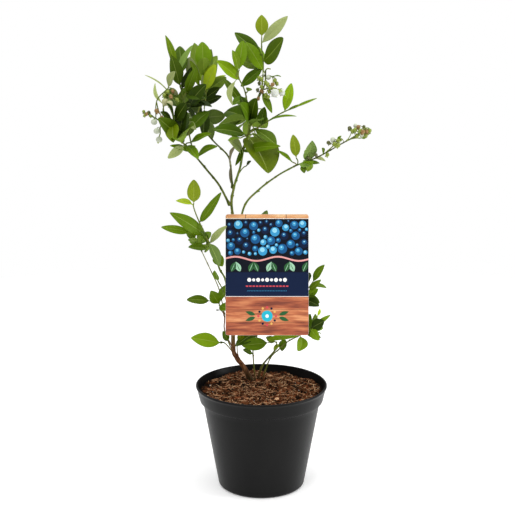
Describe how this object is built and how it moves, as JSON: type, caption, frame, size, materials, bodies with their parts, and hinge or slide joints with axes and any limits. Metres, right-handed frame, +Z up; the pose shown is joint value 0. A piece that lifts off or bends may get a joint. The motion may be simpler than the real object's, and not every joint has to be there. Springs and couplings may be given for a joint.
{
  "type": "blueberry bush in a pot",
  "caption": "Young highbush blueberry in a round black nursery pot: slender arching stems, oval leaves in sprays, small bell flowers and a hanging picture label.",
  "frame": {"origin": "centre of the pot's flat underside", "axes": "+Z up along the pot's axis; -Y towards the front of the label, with +X to its right"},
  "size_m": [0.29, 0.1877, 0.6046],
  "materials": {
    "pot_plastic": "satin black moulded plastic with faint vertical sheen",
    "compost": "moist brown fibrous compost with pale fibres and a few white grains",
    "label": "smooth printed card, semi-gloss",
    "tie": "soft green garden tie",
    "bark": "thin reddish-brown bark with lengthwise cracks",
    "green_bark": "smooth young yellow-green bark",
    "foliage": "smooth satin leaves, bright to dark green, with white bell flowers"
  },
  "bodies": {
    "root": {"pot": "pot_plastic", "compost": "compost", "label_card": "label", "label_tie": "tie", "main_stem": "bark", "left_bough": "green_bark", "upper_left_bough": "green_bark", "upper_right_bough": "green_bark", "right_bough": "green_bark", "low_left_stem": "green_bark", "side_twig": "bark", "dry_twig": "bark", "mid_shoot": "bark", "right_low_stem": "bark", "right_low_twig": "bark", "back_stem": "green_bark", "top_sprig": "foliage", "blossom_twig": "foliage", "upper_sprig": "foliage", "centre_back": "foliage", "centre_front": "foliage", "right_spray": "foliage", "left_back": "foliage", "left_top": "foliage", "left_low": "foliage", "left_bloom": "foliage", "right_arm": "foliage", "low_left": "foliage", "dry_tip": "foliage", "side_pair": "foliage", "foot_leaves": "foliage", "mid_low": "foliage", "right_low": "foliage", "right_tip": "foliage", "right_mid": "foliage", "back_mass": "foliage"}
  },
  "joints": []
}
